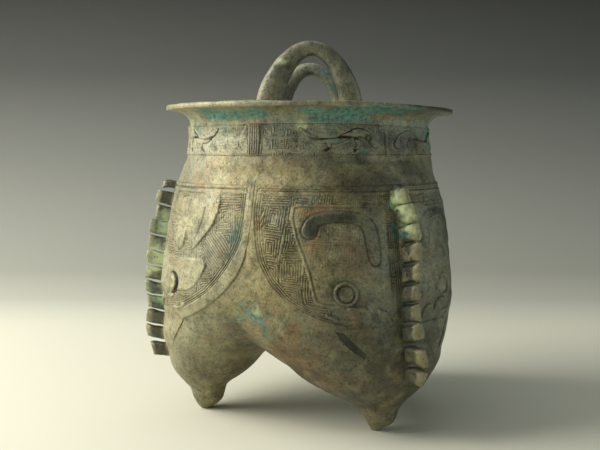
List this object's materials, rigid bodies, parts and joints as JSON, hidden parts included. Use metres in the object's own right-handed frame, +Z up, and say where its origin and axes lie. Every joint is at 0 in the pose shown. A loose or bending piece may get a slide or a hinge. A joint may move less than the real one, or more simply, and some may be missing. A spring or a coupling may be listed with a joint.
{
  "type": "bronze ding vessel",
  "caption": "Hollow cast bronze cauldron with a lobed belly on small feet, an everted rim, upright arched handles, notched flanges and cast mask relief.",
  "frame": {"origin": "on the surface that the feet stand on, below the middle of the vessel's bounding box; the neck's axis stands 7.1 mm towards +X and 2.7 mm towards -Y from it", "axes": "+Z up, -Y towards the viewer through one handle, +X to the viewer's right"},
  "size_m": [0.1811, 0.1784, 0.2108],
  "materials": {
    "bronze": "old cast bronze, dull olive brown with green and turquoise corrosion"
  },
  "bodies": {
    "root": {"ding_vessel": "bronze"}
  },
  "joints": []
}
